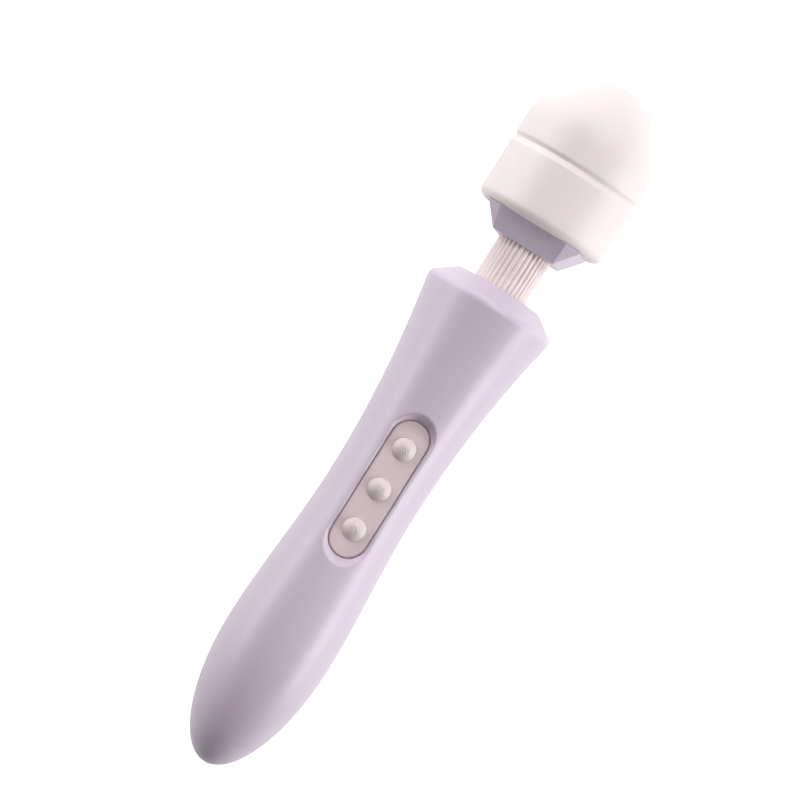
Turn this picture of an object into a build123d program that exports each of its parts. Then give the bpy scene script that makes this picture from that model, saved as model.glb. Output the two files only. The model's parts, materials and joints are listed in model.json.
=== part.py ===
from build123d import *
import math
import os

# A cordless handheld wand massager, in millimetres. It is modelled standing up: z runs from the
# tip of the tail to the top of the head, and the keypad faces -y. "Depth" is a distance from the
# wand's axis towards the keypad. The last lines lay the wand on its back, head towards +Y.

# Handle outline: radii and the heights that they stand at
BULGE_R = 24.0
BULGE_Z = 59.0
WAIST_R = 20.55
WAIST_Z = 133.0
SHOULDER_R = 30.05
SHOULDER_DROP = 7.5
SHOULDER_ROUND = 4.0
TOP_R = 19.7
TOP_Z = 233.6
TOP_ROUND = 0.8
WALL = 2.2
LIP_WALL = 1.2
LIP_REACH = 2.5
LIP_GAP = 0.15

# Keypad: a long rounded panel sunk in a pocket with sloping sides
PANEL_LENGTH = 64.5
PANEL_WIDTH = 16.7
PANEL_THICK = 1.8
PANEL_EDGE = 0.5
PANEL_SINK = 2.75
PANEL_Z = 135.9
PANEL_GAP = 0.5
POCKET_SLOPE = 45.0
WELL_WALL = 3.5
GASKET_THICK = 0.5
GASKET_BAND = 1.15
GASKET_INSET = 0.5
TRAY_THICK = 1.6

# Buttons, and the small switches that they press
BUTTON_R = 5.1
BUTTON_PITCH = 19.6
BUTTON_RISE = 0.25
BUTTON_CROWN = 2.4
BUTTON_GAP = 0.2
BUTTON_FLANGE = 0.8
BUTTON_FLANGE_ROOM = 0.4
FLANGE_THICK = 0.7
FLANGE_GAP = 0.1
STEM_R = 2.5
BUTTON_TRAVEL = 0.8
SWITCH_SIDE = 6.2
SWITCH_HEIGHT = 2.8
SWITCH_ROOM = 0.6
PLUNGER_R = 1.7
PLUNGER_RISE = 1.2
PLUNGER_GAP = 0.05
PLUNGER_SUNK = 1.4

# Circuit board
BOARD_LENGTH = 72.0
BOARD_WIDTH = 20.0
BOARD_THICK = 1.6
BOARD_POST_X = 7.0
BOARD_POST_R = 2.0
CONNECTOR_LENGTH = 5.0
CONNECTOR_WIDTH = 14.0
CONNECTOR_HEIGHT = 2.7
CHIP_SIDE = 7.0
CHIP_HEIGHT = 1.0
CHARGER_WIDTH = 6.5
CHARGER_LENGTH = 5.5
CHARGER_HEIGHT = 1.6
COIL_R = 2.6
COIL_HEIGHT = 1.8

# Battery: two standard round cells in line, behind the board
CELL_R = 9.2
CELL_LENGTH = 65.2
CELL_START = 60.0
CELL_CLEAR = 1.5
TAB_THICK = 0.25
TAB_WIDTH = 12.0
CELL_GAP = 0.15
CLAMP_WALL = 1.5
CLAMP_LENGTH = 10.0
CLAMP_DROP = 0.4
CLAMP_FOOT = 5.2
RIB_THICK = 2.0
RIB_RISE = 2.0
STOP_DROP = 2.5

# Charging socket in the back of the tail
SOCKET_Z = 38.0
SOCKET_BORE_R = 1.3
SOCKET_BORE = 9.0
SOCKET_NOSE_R = 2.9
SOCKET_BODY_R = 4.8
SOCKET_BODY = 9.5
SOCKET_SUNK = 0.8
SOCKET_SEAT = 3.5
SOCKET_RING = 1.5
CONTACT_X = 1.6
CONTACT_LENGTH = 2.0
CONTACT_SIDE = 1.2

# Flexible neck
NECK_LENGTH = 20.5
NECK_R = 12.5
NECK_WALL = 1.8
NECK_FLANGE_WIDTH = 2.1
NECK_FLANGE = 1.5
NECK_GAP = 0.3
TOP_PLATE = 4.0
SPRING_GAP = 1.6
SPRING_WIRE_R = 1.1
SPRING_TURNS = 5.0
SEAT_THICK = 2.2
SEAT_GAP = 0.75
SEAT_RISE = 0.4
SPIGOT_LENGTH = 5.0
SEAT_BORE_R = 3.5

# Collar under the head: square at the bottom and eight-sided at the top
COLLAR_HEIGHT = 9.8
COLLAR_MARGIN = 2.3
COLLAR_TOP_IN = 7.2
COLLAR_CORNER_IN = 2.39
COLLAR_TURN = -12.5
COLLAR_FLOOR = 2.0
COLLAR_BORE_WIDTH = 1.4

# Head cap
HEAD_R = 30.0
HEAD_STRAIGHT = 39.9
HEAD_ROUND = 4.2
CAP_WALL = 3.0
CAP_MOUTH_GAP = 0.1
GROOVE_START = 26.4
GROOVE_WIDTH = 4.4
GROOVE_DEEP = 1.4

# Motor carrier: the hard shell inside the cap
CARRIER_GAP = 0.3
CARRIER_WALL = 2.0
CARRIER_SPIGOT_GAP = 0.2
CARRIER_BORE_R = 5.5
CARRIER_BOSS_R = 2.9
CARRIER_SCREW_Z = (8.2, 28.2)
BULKHEAD = 3.0
BULKHEAD_Z = (14.2, 33.2)
JOIN_SCREW_R = 11.5

# Motor
CAN_R = 13.85
CAN_WALL = 0.9
CAN_LENGTH = 31.0
CAN_START = 11.7
END_CAP = 3.0
DAMPER = 1.55
MAGNET_THICK = 2.2
MAGNET_LENGTH = 21.0
MAGNET_ARC = 140.0
ARMATURE_GAP = 0.45
ARMATURE_LENGTH = 19.0
COMMUTATOR_R = 4.0
SHAFT_R = 1.15
SHAFT_GAP = 0.05
SHAFT_OUT = 13.5
BEARING_R = 3.0
BEARING_LENGTH = 2.5
TERMINAL_X = 4.0
TERMINAL_LENGTH = 3.0
TERMINAL_WIDTH = 1.8
TERMINAL_THICK = 1.2
WEIGHT_R = 11.0
WEIGHT_LENGTH = 9.0
WEIGHT_HUB_R = 3.0

# Screws and wires
SCREW_R = 0.9
SCREW_HEAD_R = 1.8
SCREW_HEAD = 1.4
SCREW_GAP = 0.05
SCREW_BITE = 3.0
SEAT_SCREW_SHANK_R = 1.25
SEAT_SCREW_HEAD_R = 2.2
WIRE_R = 0.5
WIRE_DROP = 1.5
WIRE_X = 1.6
POWER_WIRE_X = 5.0

# Heights that follow from the stack: shoulder, neck, collar, cap and dome
shoulder_z = TOP_Z - SHOULDER_DROP
collar_z = TOP_Z + NECK_LENGTH
cap_z = collar_z + COLLAR_HEIGHT
dome_z = cap_z + HEAD_STRAIGHT
wand_length = dome_z + HEAD_R
pivot_z = TOP_Z + NECK_LENGTH / 2

# Depths that follow from the waist inwards: panel, tray, switches, board, wires and cells
panel_depth = WAIST_R - PANEL_SINK
panel_back = panel_depth - PANEL_THICK
tray_depth = panel_back - GASKET_THICK
tray_back = tray_depth - TRAY_THICK
board_depth = tray_back - SWITCH_ROOM - SWITCH_HEIGHT
board_back = board_depth - BOARD_THICK
wire_y = WIRE_DROP - board_back
cell_y = CELL_R + CELL_CLEAR + CONNECTOR_HEIGHT - board_back

# Radii that follow from the neck outwards: its ends' flanges and the collar's bore
neck_inner_r = NECK_R - NECK_WALL
neck_flange_r = NECK_R + NECK_FLANGE_WIDTH
collar_bore_r = neck_flange_r + COLLAR_BORE_WIDTH

bottom = (Align.CENTER, Align.CENTER, Align.MIN)
far = 2 * wand_length
keypad_half = Box(far, far, 2 * far, align=(Align.CENTER, Align.MAX, Align.CENTER))
back_half = Box(far, far, 2 * far, align=(Align.CENTER, Align.MIN, Align.CENTER))


# Shapes that many pieces share

def turned(*points):
    """A solid turned about the wand's axis from its (radius, height) outline."""
    return revolve(make_face(Plane.XZ * Polyline(*points, close=True)), Axis.Z)


def disc(radius, low, high, bore=0.0):
    """A round plate or tube on the wand's axis."""
    plate = Pos(0, 0, low) * Cylinder(radius, high - low, align=bottom)
    if bore:
        plate -= Pos(0, 0, low) * Cylinder(bore, high - low, align=bottom)
    return plate


def post(x, z, radius, start, end):
    """A round post along y, from one y to another."""
    return Pos(x, start, z) * Rot(-90, 0, 0) * Cylinder(radius, end - start, align=bottom)


def block(x, y, z):
    """A box given by its (low, high) along each direction."""
    size = [high - low for low, high in (x, y, z)]
    middle = [(high + low) / 2 for low, high in (x, y, z)]
    return Pos(*middle) * Box(*size)


def stadium(depth, thick, grow=0.0, slope=0.0):
    """A long rounded plate in the keypad's outline, thickening towards the keypad's face."""
    face = Plane(origin=(0, -depth, PANEL_Z), x_dir=(0, 0, 1), z_dir=(0, -1, 0))
    outline = face * SlotOverall(PANEL_LENGTH + 2 * grow, PANEL_WIDTH + 2 * grow)
    return extrude(outline, amount=thick, taper=-slope)


def around(radius, count=4, first=45.0):
    """Points evenly spaced on a circle about the wand's axis."""
    angles = [math.radians(first + 360.0 * i / count) for i in range(count)]
    return [(radius * math.cos(a), radius * math.sin(a)) for a in angles]


def wire(*points, radii):
    """A round wire along straight runs joined by arcs."""
    path = FilletPolyline(*points, radius=radii)
    return sweep(Plane(path @ 0, z_dir=path % 0) * Circle(WIRE_R), path=path)


def screw(shank_r, head_r, head, shank):
    """A round-headed screw with its head's underside at the origin, pointing along +z."""
    body = Cylinder(shank_r, shank, align=bottom)
    body += Pos(0, 0, -head) * Cylinder(head_r, head, align=bottom)
    drive = Pos(0, 0, -head) * Cylinder(head_r * 0.45, head * 0.5, align=bottom)
    return body - drive


def group(solids):
    """Separate solids in one node."""
    return Compound(children=list(solids))


# Handle shells

def handle_body(inset):
    """The handle's whole turned body, drawn in from its skin by an even inset."""
    bulge = (BULGE_R - inset, BULGE_Z)
    waist = (WAIST_R - inset, WAIST_Z)
    shoulder = (SHOULDER_R - inset, shoulder_z - 0.6 * inset)
    rim = (TOP_R - 0.6 * inset, TOP_Z - inset)
    quarter_ellipse = [1, math.sqrt(0.5), 1]
    tail = Bezier((0, inset), (bulge[0], inset), bulge, weights=quarter_ellipse)
    belly = Spline(bulge, waist, tangents=[(0, 1), (0, 1)])
    flare = Bezier(waist, (waist[0], (waist[1] + shoulder[1]) / 2), shoulder)
    top = Polyline(shoulder, rim, (0, rim[1]), (0, inset))
    return revolve(make_face(Plane.XZ * (tail + belly + flare + top)), Axis.Z)


def ring_edges(solid, radius, z):
    """The round edges of a turned solid at one radius and height."""
    return [
        edge
        for edge in solid.edges().filter_by(GeomType.CIRCLE)
        if abs(edge.radius - radius) < 0.01 and abs(edge.center().Z - z) < 0.01
    ]


def skin_radius(z):
    """The radius of the tail's outside at a height below the bulge."""
    return BULGE_R * math.sqrt(1 - ((BULGE_Z - z) / BULGE_Z) ** 2)


outside = handle_body(0)
outside = fillet(ring_edges(outside, SHOULDER_R, shoulder_z), SHOULDER_ROUND)
outside = fillet(ring_edges(outside, TOP_R, TOP_Z), TOP_ROUND)
inside = handle_body(WALL)
bonded = handle_body(WALL / 2)

plate_z = TOP_Z - TOP_PLATE
plate_room = inside & disc(SHOULDER_R, plate_z, plate_z + WALL / 10)
plate_room_r = plate_room.bounding_box().max.X
top_plate = disc(SHOULDER_R, plate_z, TOP_Z) & bonded
neck_hole = disc(NECK_R + NECK_GAP, plate_z, TOP_Z)
neck_hole += disc(neck_flange_r + NECK_GAP, plate_z, plate_z + NECK_FLANGE)
seat_r = plate_room_r - SEAT_GAP
seat_screw_spots = around((neck_flange_r + NECK_GAP + seat_r) / 2)
for x, y in seat_screw_spots:
    pilot = Cylinder(SEAT_SCREW_SHANK_R + SCREW_GAP, SCREW_BITE, align=bottom)
    neck_hole += Pos(x, y, plate_z) * pilot
shells = (outside - inside + top_plate) - neck_hole

# Keypad well in the keypad's half
flange_r = BUTTON_R + BUTTON_FLANGE
button_spots = [PANEL_Z + BUTTON_PITCH * i for i in (1, 0, -1)]
board_posts = [
    (side * BOARD_POST_X, PANEL_Z + level * BUTTON_PITCH / 2) for side in (-1, 1) for level in (-1, 1)
]

well = stadium(tray_back, BULGE_R, grow=WELL_WALL) & bonded
for x, z in board_posts:
    well += post(x, z, BOARD_POST_R, -(tray_back + TRAY_THICK / 2), -board_depth)
well -= stadium(tray_depth, panel_depth - tray_depth, grow=PANEL_GAP)
for z in button_spots:
    well -= post(0, z, flange_r + BUTTON_FLANGE_ROOM, -tray_depth, -tray_back)
for x, z in board_posts:
    well -= post(x, z, SCREW_R + SCREW_GAP, -(board_depth + SCREW_BITE), -board_depth)

pocket = stadium(tray_depth, panel_depth - tray_depth, grow=PANEL_GAP)
pocket += stadium(panel_depth, SHOULDER_R - panel_depth, grow=PANEL_GAP, slope=POCKET_SLOPE)
front_shell = (shells & keypad_half) - stadium(tray_back, BULGE_R, grow=PANEL_GAP)
front_shell = front_shell + well - pocket

# Lip of the back half, which slides inside the keypad's half along the seam
lip_slab = block((-far, far), (-LIP_REACH, 0), (0, plate_z - 2 * WALL))
lip_root = block((-far, far), (0, LIP_REACH), (0, plate_z - 2 * WALL))
lip_core = handle_body(WALL + LIP_WALL)
lip = (handle_body(WALL + LIP_GAP) - lip_core) & lip_slab
lip += (bonded - lip_core) & lip_root

# Battery bay: saddle ribs, end stops and screw posts in the back half
cell_spots = [CELL_START + (CELL_LENGTH + TAB_THICK) * i for i in range(2)]
cells_end = cell_spots[1] + CELL_LENGTH
bay_r = CELL_R + CELL_GAP
clamp_spots = [start + CELL_LENGTH / 2 for start in cell_spots]
foot_y = cell_y + CLAMP_DROP
foot_x = bay_r + CLAMP_WALL + CLAMP_FOOT / 2 - 0.3
clamp_posts = [(side * foot_x, z) for z in clamp_spots for side in (-1, 1)]

bay = Part()
for start in cell_spots:
    for share in (0.2, 0.8):
        z = start + CELL_LENGTH * share
        bay += block((-far, far), (cell_y - RIB_RISE, far), (z - RIB_THICK / 2, z + RIB_THICK / 2))
for z in (CELL_START - TAB_THICK - CELL_GAP - RIB_THICK, cells_end + TAB_THICK + CELL_GAP):
    bay += block((-far, far), (cell_y + STOP_DROP, far), (z, z + RIB_THICK))
bay -= Pos(0, cell_y, CELL_START - TAB_THICK) * Cylinder(
    bay_r, cells_end - CELL_START + 2 * TAB_THICK, align=bottom
)
for x, z in clamp_posts:
    bay += post(x, z, CLAMP_FOOT / 2, foot_y, BULGE_R)
    bay -= post(x, z, SCREW_R + SCREW_GAP, foot_y, foot_y + SCREW_BITE)

# Seat for the charging socket in the back half
skin_y = skin_radius(SOCKET_Z)
socket_seat_y = skin_y - SOCKET_SEAT
socket_face_y = skin_y - SOCKET_SUNK
socket_back_y = socket_seat_y - SOCKET_BODY
bay += post(0, SOCKET_Z, SOCKET_BODY_R + SOCKET_RING, socket_seat_y - SOCKET_BODY / 2, skin_y)
bay &= bonded & back_half

back_shell = (shells & back_half) + bay + lip
back_shell -= post(0, SOCKET_Z, SOCKET_BODY_R + SCREW_GAP, socket_back_y, socket_seat_y)
back_shell -= post(0, SOCKET_Z, SOCKET_NOSE_R + SCREW_GAP, socket_seat_y, BULGE_R + WALL)


# Keypad pieces

panel = stadium(panel_depth - PANEL_THICK, PANEL_THICK)
panel = fillet(panel.faces().sort_by(Axis.Y)[0].edges(), PANEL_EDGE)
flange_room = panel_back + FLANGE_THICK + FLANGE_GAP
for z in button_spots:
    panel -= post(0, z, BUTTON_R + BUTTON_GAP, -panel_depth, -panel_back)
    panel -= post(0, z, flange_r + BUTTON_GAP, -flange_room, -panel_back)

gasket = stadium(tray_depth, GASKET_THICK, grow=-GASKET_INSET)
gasket -= stadium(tray_depth, GASKET_THICK, grow=-GASKET_INSET - GASKET_BAND)
for z in button_spots:
    gasket -= post(0, z, flange_r + BUTTON_FLANGE_ROOM, -panel_back, -tray_depth)

switch_top = board_depth + SWITCH_HEIGHT
plunger_top = switch_top + PLUNGER_RISE
plunger_foot = switch_top - PLUNGER_SUNK


def button(z):
    """A domed button with a flange under the panel and a stem down to its switch."""
    edge = panel_depth + BUTTON_RISE
    top = edge + BUTTON_CROWN
    dome_r = (BUTTON_R**2 + BUTTON_CROWN**2) / (2 * BUTTON_CROWN)
    half_turn = math.asin(BUTTON_R / dome_r) / 2
    on_dome = (dome_r * math.sin(half_turn), top - dome_r * (1 - math.cos(half_turn)))
    dome = ThreePointArc((BUTTON_R, edge), on_dome, (0, top))
    sides = Polyline(
        (0, top),
        (0, plunger_top),
        (STEM_R, plunger_top),
        (STEM_R, panel_back),
        (flange_r, panel_back),
        (flange_r, panel_back + FLANGE_THICK),
        (BUTTON_R, panel_back + FLANGE_THICK),
        (BUTTON_R, edge),
    )
    outline = make_face(Plane.XZ * (dome + sides))
    return Pos(0, 0, z) * Rot(90, 0, 0) * revolve(outline, Axis.Z)


def plunger(z):
    """The small round post that the button's stem presses into the switch."""
    return post(0, z, PLUNGER_R, -plunger_top, -plunger_foot)


def switch(z):
    """A square push switch with a hole for its plunger."""
    half = SWITCH_SIDE / 2
    body = block((-half, half), (-switch_top, -board_depth), (z - half, z + half))
    room = BUTTON_TRAVEL + FLANGE_GAP
    return body - post(0, z, PLUNGER_R + PLUNGER_GAP, -switch_top, room - plunger_foot)


# Circuit board, with its parts hanging under it

board_low = PANEL_Z - BOARD_LENGTH / 2
board_high = PANEL_Z + BOARD_LENGTH / 2
board = block(
    (-BOARD_WIDTH / 2, BOARD_WIDTH / 2), (-board_depth, -board_back), (board_low, board_high)
)
for x, z in board_posts:
    board -= post(x, z, SCREW_R + 2 * SCREW_GAP, -board_depth, -board_back)


def under_board(width, length, height, z):
    """A part soldered under the board, centred across it, from one end at z."""
    return block((-width / 2, width / 2), (-board_back, height - board_back), (z, z + length))


tail_plug_z = board_low + 2
head_plug_z = board_high - 2 - CONNECTOR_LENGTH
components = [
    under_board(CONNECTOR_WIDTH, CONNECTOR_LENGTH, CONNECTOR_HEIGHT, tail_plug_z),
    under_board(CONNECTOR_WIDTH, CONNECTOR_LENGTH, CONNECTOR_HEIGHT, head_plug_z),
    under_board(CHIP_SIDE, CHIP_SIDE, CHIP_HEIGHT, PANEL_Z - CHIP_SIDE / 2),
    under_board(CHARGER_WIDTH, CHARGER_LENGTH, CHARGER_HEIGHT, PANEL_Z - BUTTON_PITCH),
    post(0, PANEL_Z + 0.8 * BUTTON_PITCH, COIL_R, -board_back, COIL_HEIGHT - board_back),
]


# Battery pieces

def cell(start):
    """A round cell with its raised positive cap towards the head."""
    return Pos(0, cell_y, start) * Cylinder(CELL_R, CELL_LENGTH, align=bottom)


def tab(z):
    """A flat nickel strip across the ends of the cells."""
    half = TAB_WIDTH / 2
    return block((-half, half), (cell_y - half / 2, cell_y + half / 2), (z, z + TAB_THICK))


def clamp(z):
    """An arch over a cell, with a screwed foot at each side."""
    low = z - CLAMP_LENGTH / 2
    arch = Pos(0, cell_y, low) * Cylinder(bay_r + CLAMP_WALL, CLAMP_LENGTH, align=bottom)
    arch &= block((-far, far), (-far, foot_y), (low, low + CLAMP_LENGTH))
    reach = foot_x + CLAMP_FOOT / 2
    arch += block((-reach, reach), (foot_y - CLAMP_WALL, foot_y), (low, low + CLAMP_LENGTH))
    arch -= Pos(0, cell_y, low) * Cylinder(bay_r, CLAMP_LENGTH, align=bottom)
    for side in (-1, 1):
        arch -= post(side * foot_x, z, SCREW_R + 2 * SCREW_GAP, foot_y - CLAMP_WALL, foot_y)
    return arch


tabs = [tab(CELL_START - TAB_THICK), tab(cell_spots[1] - TAB_THICK), tab(cells_end)]

# Charging socket
socket = post(0, SOCKET_Z, SOCKET_BODY_R, socket_back_y, socket_seat_y)
socket += post(0, SOCKET_Z, SOCKET_NOSE_R, socket_seat_y, socket_face_y)
socket -= post(0, SOCKET_Z, SOCKET_BORE_R, socket_face_y - SOCKET_BORE, socket_face_y)
contact_end_y = socket_back_y - CONTACT_LENGTH
contact = Box(CONTACT_SIDE, CONTACT_LENGTH, CONTACT_SIDE)
contact_y = socket_back_y - CONTACT_LENGTH / 2
contacts = [Pos(x, contact_y, SOCKET_Z) * contact for x in (-CONTACT_X, CONTACT_X)]

# Neck pieces
sleeve = disc(NECK_R, plate_z, collar_z + COLLAR_FLOOR + NECK_FLANGE, bore=neck_inner_r)
sleeve += disc(neck_flange_r, plate_z, plate_z + NECK_FLANGE, bore=neck_inner_r)
collar_ledge_z = collar_z + COLLAR_FLOOR + NECK_FLANGE
sleeve += disc(neck_flange_r, collar_ledge_z - NECK_FLANGE, collar_ledge_z, bore=neck_inner_r)

seat_low_z = plate_z - SEAT_THICK
spring_low = TOP_Z + SEAT_RISE
spring_high = collar_z - SEAT_RISE
boss_r = neck_inner_r - NECK_GAP
spring_r = neck_inner_r - SPRING_GAP - SPRING_WIRE_R
spigot_r = spring_r - SPRING_WIRE_R - NECK_GAP
lower_seat = turned(
    (SEAT_BORE_R, seat_low_z),
    (seat_r, seat_low_z),
    (seat_r, plate_z),
    (boss_r, plate_z),
    (boss_r, spring_low),
    (spigot_r, spring_low),
    (spigot_r, spring_low + SPIGOT_LENGTH),
    (SEAT_BORE_R, spring_low + SPIGOT_LENGTH),
)
for x, y in seat_screw_spots:
    lower_seat -= Pos(x, y, seat_low_z) * Cylinder(
        SEAT_SCREW_SHANK_R + 2 * SCREW_GAP, SEAT_THICK, align=bottom
    )

upper_seat_top = collar_ledge_z + SEAT_THICK
upper_seat_r = collar_bore_r - CARRIER_SPIGOT_GAP
upper_seat = turned(
    (SEAT_BORE_R, spring_high - SPIGOT_LENGTH),
    (spigot_r, spring_high - SPIGOT_LENGTH),
    (spigot_r, spring_high),
    (boss_r, spring_high),
    (boss_r, collar_ledge_z),
    (upper_seat_r, collar_ledge_z),
    (upper_seat_r, upper_seat_top),
    (SEAT_BORE_R, upper_seat_top),
)
join_spots = around(JOIN_SCREW_R)
join_bite = SEAT_THICK - 0.6
for x, y in join_spots:
    upper_seat -= Pos(x, y, upper_seat_top - join_bite) * Cylinder(
        SCREW_R + SCREW_GAP, join_bite, align=bottom
    )

spring_ends = SPRING_WIRE_R + SCREW_GAP
spring_height = spring_high - spring_low - 2 * spring_ends
coil = Pos(0, 0, spring_low + spring_ends) * Helix(
    pitch=spring_height / SPRING_TURNS, height=spring_height, radius=spring_r
)
spring = sweep(Plane(coil @ 0, z_dir=coil % 0) * Circle(SPRING_WIRE_R), path=coil, is_frenet=True)


# Collar

def frustum(low_half, high_half):
    """A square block that widens from the collar's bottom to its top."""
    low = Plane.XY.offset(collar_z) * Rectangle(2 * low_half, 2 * low_half)
    high = Plane.XY.offset(cap_z) * Rectangle(2 * high_half, 2 * high_half)
    return loft([low, high], ruled=True)


collar_bottom = NECK_R + COLLAR_MARGIN
collar = frustum(collar_bottom, HEAD_R - COLLAR_TOP_IN)
collar &= Rot(0, 0, 45) * frustum(collar_bottom * math.sqrt(2), HEAD_R - COLLAR_CORNER_IN)
collar = Rot(0, 0, COLLAR_TURN) * collar
collar -= disc(NECK_R + NECK_GAP, collar_z, collar_z + COLLAR_FLOOR)
collar -= disc(neck_flange_r + NECK_GAP, collar_z + COLLAR_FLOOR, collar_ledge_z)
collar -= disc(collar_bore_r, collar_ledge_z, cap_z)

# Head cap: a thick soft cup over the motor carrier, turned in under it
groove_low = cap_z + GROOVE_START
cup = turned(
    (0, cap_z),
    (HEAD_R, cap_z),
    (HEAD_R, groove_low),
    (HEAD_R - GROOVE_DEEP, groove_low + GROOVE_WIDTH / 2),
    (HEAD_R, groove_low + GROOVE_WIDTH),
    (HEAD_R, dome_z),
    (0, dome_z),
)
cup = fillet(ring_edges(cup, HEAD_R, cap_z), HEAD_ROUND)
cup += Pos(0, 0, dome_z) * Sphere(HEAD_R)
cup_r = HEAD_R - CAP_WALL
lip_z = cap_z + CAP_WALL
cup -= disc(cup_r, lip_z, dome_z) + Pos(0, 0, dome_z) * Sphere(cup_r)
cup -= disc(collar_bore_r + CAP_MOUTH_GAP, cap_z, lip_z)

# Motor carrier, in two halves screwed together across the axis
carrier_r = cup_r - CARRIER_GAP
hollow_r = carrier_r - CARRIER_WALL
floor_z = lip_z + CARRIER_WALL
spigot_z = upper_seat_top
carrier_outside = disc(carrier_r, lip_z, dome_z) + Pos(0, 0, dome_z) * Sphere(carrier_r)
carrier_inside = disc(hollow_r, floor_z, dome_z) + Pos(0, 0, dome_z) * Sphere(hollow_r)
carrier = carrier_outside - carrier_inside
for level in BULKHEAD_Z:
    z = lip_z + level
    carrier += disc(carrier_r - CARRIER_WALL / 2, z, z + BULKHEAD, bore=CAN_R + DAMPER)
carrier += disc(collar_bore_r - CARRIER_SPIGOT_GAP, spigot_z, floor_z)
carrier -= disc(CARRIER_BORE_R, spigot_z, floor_z)
for x, y in join_spots:
    carrier -= Pos(x, y, spigot_z) * Cylinder(
        SCREW_R + 2 * SCREW_GAP, floor_z - spigot_z, align=bottom
    )

carrier_skin = disc(carrier_r - CARRIER_WALL / 2, floor_z, dome_z)
cross_x = hollow_r - CARRIER_BOSS_R
cross_head_y = -6.0
cross_tip_y = 8.0
cross_spots = [(side * cross_x, lip_z + z) for z in CARRIER_SCREW_Z for side in (-1, 1)]
carrier_front = carrier & keypad_half
carrier_back = carrier & back_half
for x, z in cross_spots:
    carrier_front += post(x, z, CARRIER_BOSS_R, cross_head_y, 0) & carrier_skin
    carrier_front -= post(x, z, SCREW_R + 2 * SCREW_GAP, cross_head_y, 0)
    carrier_front -= post(x, z, SCREW_HEAD_R + 0.4, -carrier_r, cross_head_y)
    carrier_back += post(x, z, CARRIER_BOSS_R, 0, cross_tip_y + 1) & carrier_skin
    carrier_back -= post(x, z, SCREW_R + SCREW_GAP, 0, cross_tip_y)

# Motor, with its rotor apart from its fixed pieces
can_low = lip_z + CAN_START
can_high = can_low + CAN_LENGTH
can_inner_r = CAN_R - CAN_WALL
can = disc(CAN_R, can_low, can_high, bore=can_inner_r)
can += disc(CAN_R, can_high - CAN_WALL, can_high, bore=BEARING_R)
end_cap = disc(CAN_R, can_low - END_CAP, can_low)
end_cap += disc(can_inner_r - SCREW_GAP, can_low, can_low + 2)
end_cap -= disc(SHAFT_R + SHAFT_GAP, can_low - END_CAP + 1, can_low + 2)
bearing = disc(BEARING_R, can_high - CAN_WALL, can_high - CAN_WALL + BEARING_LENGTH)
bearing -= disc(SHAFT_R + SHAFT_GAP, can_high - CAN_WALL, can_high - CAN_WALL + BEARING_LENGTH)
dampers = [
    disc(CAN_R + DAMPER, lip_z + level, lip_z + level + BULKHEAD, bore=CAN_R) for level in BULKHEAD_Z
]
magnet_low = can_low + 4
magnet_inner_r = can_inner_r - MAGNET_THICK
magnet_ring = disc(can_inner_r, magnet_low, magnet_low + MAGNET_LENGTH, bore=magnet_inner_r)
magnet_gap = (180 - MAGNET_ARC) / 2
magnet_cut = Rot(0, 0, magnet_gap) * back_half & Rot(0, 0, -magnet_gap) * back_half
magnets = [magnet_ring & (Rot(0, 0, turn) * magnet_cut) for turn in (0, 180)]
terminal_z = can_low - END_CAP - TERMINAL_LENGTH
terminals = [
    Pos(x, 0, terminal_z) * Box(TERMINAL_WIDTH, TERMINAL_THICK, TERMINAL_LENGTH, align=bottom)
    for x in (-TERMINAL_X, TERMINAL_X)
]
shaft_high = can_high + SHAFT_OUT
shaft = disc(SHAFT_R, can_low - END_CAP + 1.5, shaft_high)
armature_low = magnet_low + (MAGNET_LENGTH - ARMATURE_LENGTH) / 2
armature = disc(magnet_inner_r - ARMATURE_GAP, armature_low, armature_low + ARMATURE_LENGTH)
armature += disc(COMMUTATOR_R, armature_low - 2.5, armature_low)
armature -= disc(SHAFT_R, armature_low - 2.5, armature_low + ARMATURE_LENGTH)
weight_low = shaft_high - 1.5 - WEIGHT_LENGTH
weight = disc(WEIGHT_R, weight_low, weight_low + WEIGHT_LENGTH) & back_half
weight += disc(WEIGHT_HUB_R, weight_low, weight_low + WEIGHT_LENGTH)
weight -= disc(SHAFT_R, weight_low, weight_low + WEIGHT_LENGTH)

# Wires: from the socket and the cells to the board, and from the board through the neck
turn_back_z = cells_end + 7.5
socket_wires = [
    wire(
        (x, contact_end_y, SOCKET_Z),
        (x, wire_y, SOCKET_Z),
        (x, wire_y, tail_plug_z),
        radii=[0.6 * (contact_end_y - wire_y)],
    )
    for x in (-CONTACT_X, CONTACT_X)
]
battery_wires = [
    wire(
        (POWER_WIRE_X, cell_y, CELL_START - TAB_THICK),
        (POWER_WIRE_X, cell_y, CELL_START - 8),
        (POWER_WIRE_X, wire_y, CELL_START - 8),
        (POWER_WIRE_X, wire_y, tail_plug_z),
        radii=[5.0, 5.0],
    ),
    wire(
        (POWER_WIRE_X, cell_y, cells_end + TAB_THICK),
        (POWER_WIRE_X, cell_y, turn_back_z),
        (POWER_WIRE_X, wire_y, turn_back_z),
        (POWER_WIRE_X, wire_y, head_plug_z + CONNECTOR_LENGTH),
        radii=[5.0, 5.0],
    ),
]
motor_wires = [
    wire(
        (side * WIRE_X, wire_y, head_plug_z + CONNECTOR_LENGTH),
        (side * WIRE_X, wire_y, seat_low_z - 22),
        (side * WIRE_X, 0, seat_low_z - 5),
        (side * WIRE_X, 0, upper_seat_top + 1),
        (side * TERMINAL_X, 0, terminal_z - 4),
        (side * TERMINAL_X, 0, terminal_z),
        radii=[18.0, 18.0, 8.0, 8.0],
    )
    for side in (-1, 1)
]


# Screws

def screws_along_z(spots, z, shank_r, head_r, shank, up=True):
    """Screws with their heads' undersides at z, pointing up or down the wand."""
    turn = Rot(0 if up else 180, 0, 0)
    return [Pos(x, y, z) * turn * screw(shank_r, head_r, SCREW_HEAD, shank) for x, y in spots]


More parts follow.
